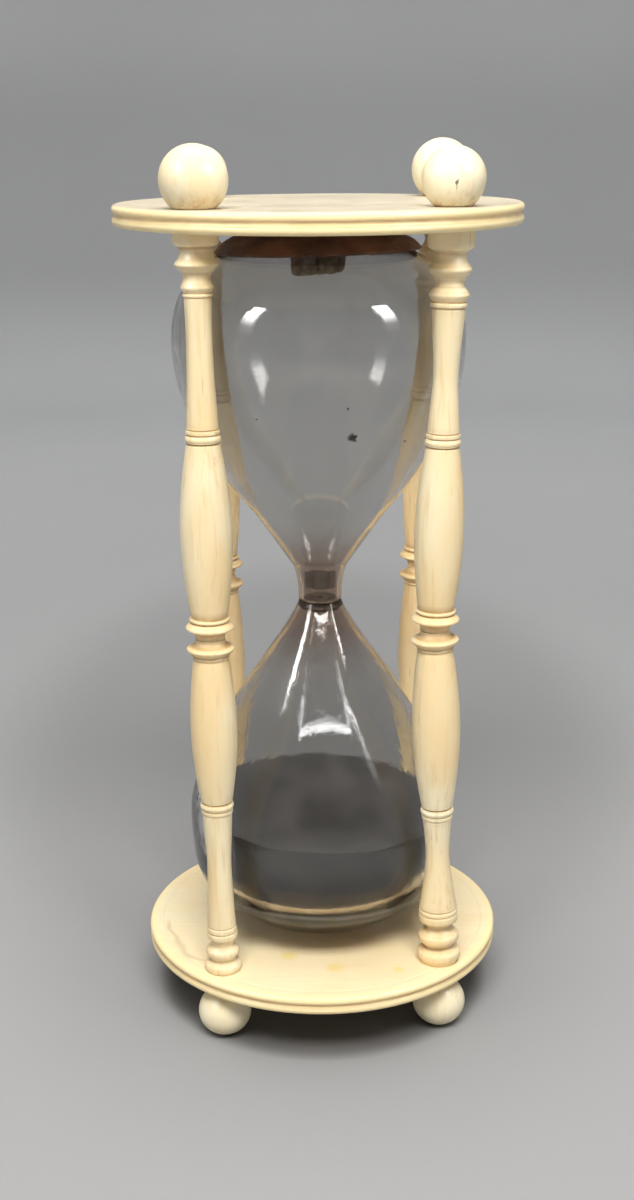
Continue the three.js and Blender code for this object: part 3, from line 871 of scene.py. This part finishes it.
def make_cork(material):
    """The stopper, pushed in a little crooked, with a rounded lower edge."""
    top = MIDDLE + CORK_TOP
    edge = arc((7.3, CORK_EDGE - CORK_LENGTH), CORK_EDGE, -80, 0, 6)
    line = [(0, -CORK_LENGTH), (7, -CORK_LENGTH), *edge, (CORK_RADIUS, 0), (0, 0)]

    def crooked(radius, angle, height):
        return radius, height + CORK_TILT * radius * math.cos(angle) * (top - height) / CORK_LENGTH

    cork = revolve("cork_stopper", [(r, top + h) for r, h in line], shape=crooked)
    show(cork, material, "cork")


LEATHER_RIM = 33
LEATHER_HELD = 22
LEATHER_RAGGED = 0.35


def make_leather(material):
    """A disc of leather, pressed flat under the plate, whose cut edge droops over the glass."""
    under = smooth_line([(12, 120.7), (20, 119.9), (28, 117.3), (30.5, 116), (32.3, 114.9)], 4)
    over = smooth_line([(LEATHER_RIM, 115.3), (32.9, 115.9), (29.5, 118.7), (21, 121.6), (14, 122.7)], 4)
    line = [(0, 120.7), *under, *over, (0, 122.8)]

    def cut_edge(radius, angle, height):
        outer = min(max((radius - LEATHER_HELD) / (LEATHER_RIM - LEATHER_HELD), 0), 1) ** 1.5
        ragged = LEATHER_RAGGED * noise.noise(Vector((math.cos(angle) * 3, math.sin(angle) * 3, 1)))
        lift = 0.7 * math.cos(angle) - 0.8 * math.sin(angle) + ragged
        return radius + outer * ragged, height + outer * (lift - 0.3)

    profile = [(r, MIDDLE + h) for r, h in line]
    show(revolve("leather_cap_disc", profile, sides=96, shape=cut_edge), material, "leather_cap")


# ---- Floor and light ----

def make_stage():
    """A pale floor that curves up into a wall all round, so no edge shows from any side. Painted shade grades
    its tone, and painted shadows darken it behind and under the hourglass.
    """
    curve = arc((1.3, 0.7), 0.7, -90, 0, 16)
    line = [(0, 0), (0.3, 0), (0.7, 0), (1.0, 0), *curve, (2.0, 2.6)]
    bowl = revolve("floor", [(r / MM, h / MM) for r, h in line], sides=96)
    s = Shader(bpy.data.materials.new("pale_paper"))
    reach = s.distance((0, 0, 0), (1, 1, 0))
    # Painted shade: the floor is darker towards the middle, and the wall is darker than the far floor,
    # lighter again high up.
    grey = s.mix(s.band(reach, 0.25, 1.4), (0.345, 0.345, 0.348), (0.64, 0.645, 0.655))
    grey = s.mix(height_band(s, 0.0, 0.14), grey, (0.475, 0.478, 0.485))
    grey = s.mix(height_band(s, 0.3, 0.45), grey, (0.55, 0.553, 0.56))
    # Painted shadows: a soft dark patch behind the hourglass, and a darker one under its bottom plate.
    painted_shadow_behind = s.band(s.distance((0, 0.25, 0), (1, 0.5, 1)), 0.20, 0.12, 0.0, 0.22)
    under = s.band(s.distance((0, 0, 0)), 0.066, 0.056, 0.0, 0.78)
    grey = s.mix(s.math("MAXIMUM", painted_shadow_behind, under), grey, (0.06, 0.055, 0.05))
    grey = s.mix(s.band(s.noise(2.2, detail=2), 0.3, 0.7, 0, 0.06), grey, (0.2, 0.2, 0.2))
    bowl.data.materials.append(s.finish(Base_Color=grey, Roughness=0.9))


def area_light(name, place, target, size, power, colour=(1, 1, 1)):
    data = bpy.data.lights.new(name, "AREA")
    data.shape = "RECTANGLE"
    data.size, data.size_y = size
    data.energy = power
    data.color = colour
    light = bpy.data.objects.new(name, data)
    bpy.context.collection.objects.link(light)
    light.location = place
    aim = Vector(target) - Vector(place)
    light.rotation_euler = aim.to_track_quat("-Z", "Y").to_euler()
    return light


def shade_light(light, hollow=False, fades_down=False):
    """Softens a light's edges, and can leave only its lower end and sides, or fade it downwards."""
    s = Shader(light.data)
    spot = s.add("ShaderNodeSeparateXYZ")
    s.feed(spot.inputs[0], s.add("ShaderNodeNewGeometry").outputs["Parametric"])
    sides = [s.math("ABSOLUTE", s.math("SUBTRACT", spot.outputs[i], 0.5)) for i in (0, 1)]
    blur = 0.04 if hollow else 0.14
    strength = s.math("MULTIPLY", s.band(sides[0], 0.5, 0.5 - blur), s.band(sides[1], 0.5, 0.5 - blur))
    if hollow:
        frame = s.math("MAXIMUM", s.band(spot.outputs[1], 0.30, 0.24), s.band(sides[0], 0.40, 0.44, 0.0, 0.5))
        strength = s.math("MULTIPLY", strength, frame)
    if fades_down:
        strength = s.math("MULTIPLY", strength, s.band(spot.outputs[1], 0.15, 0.9, 0.02, 1.0))
    emission = s.add("ShaderNodeEmission")
    s.feed(emission.inputs["Strength"], strength)
    output = s.add("ShaderNodeOutputLight")
    s.tree.links.new(emission.outputs[0], output.inputs["Surface"])


def make_lights():
    key = area_light("key", (0, -0.78, 1.22), (0, 0, 0.12), (0.9, 0.38), 22.8, (1, 0.985, 0.96))
    key.visible_glossy = False
    key.visible_transmission = False
    area_light("overhead", (0, 0.15, 1.5), (0, 0, 0), (1.1, 0.9), 10, (1, 0.99, 0.97))
    for name, side in (("left", -1), ("right", 1)):
        strip = area_light(name, (side * 0.77, -0.48, 0.70), (0, 0, 0.25), (0.24, 0.72), 26)
        strip.visible_diffuse = False
        shade_light(strip, fades_down=True)
    window = area_light("window", (0.06, -0.82, 1.0), (0, -0.03, 0.12), (1.5, 0.36), 34)
    window.visible_diffuse = False
    shade_light(window, hollow=True)
    return window


def light_only(light, piece):
    """Lets a light fall on one piece and nothing else."""
    lit = bpy.data.collections.new(f"{light.name}_lights")
    lit.objects.link(piece)
    light.light_linking.receiver_collection = lit


def make_room():
    world = bpy.data.worlds.new("room")
    world.use_nodes = True
    background = world.node_tree.nodes["Background"]
    background.inputs["Color"].default_value = (0.9, 0.95, 1, 1)
    background.inputs["Strength"].default_value = 0.22
    bpy.context.scene.world = world
    bpy.context.scene.view_settings.view_transform = "Standard"


# ---- The hourglass ----

make_camera()
make_stage()
make_room()
window = make_lights()

plate_bone = bone("bone_plate", LYING, light=(0.93, 0.785, 0.51), warm=(0.90, 0.735, 0.44), extra=plate_marks,
                  pores=0.12, streaks=0.15)
pillar_bone = bone("bone_pillar", UPRIGHT, extra=pillar_painted_shade, pores=0.45, streaks=0.5)
ball_bone = bone("bone_ball", UPRIGHT, light=PALE, warm=(0.90, 0.75, 0.47), extra=ball_marks,
                 pores=0.25, streaks=0.3)

make_plate("bottom_plate", "lower", BOTTOM_LOW.z, BOTTOM_HIGH.z, plate_bone)
make_plate("top_plate", "upper", TOP_LOW.z, TOP_HIGH.z, plate_bone)
for corner in PILLARS:
    make_half_pillar(corner, "upper", pillar_bone)
    make_half_pillar(corner, "lower", pillar_bone)
    make_foot(corner, ball_bone)
    make_finial(corner, ball_bone)
make_upper_bulb(clear_glass("upper_glass", 0.1, -1, 0))
light_only(window, make_lower_bulb(clear_glass("lower_glass", 0.45, 0.048, 0.064)))
make_diaphragm(dark_brass(), dark_wax())
make_sand(dark_sand())
make_cork(old_cork())
make_leather(brown_leather())
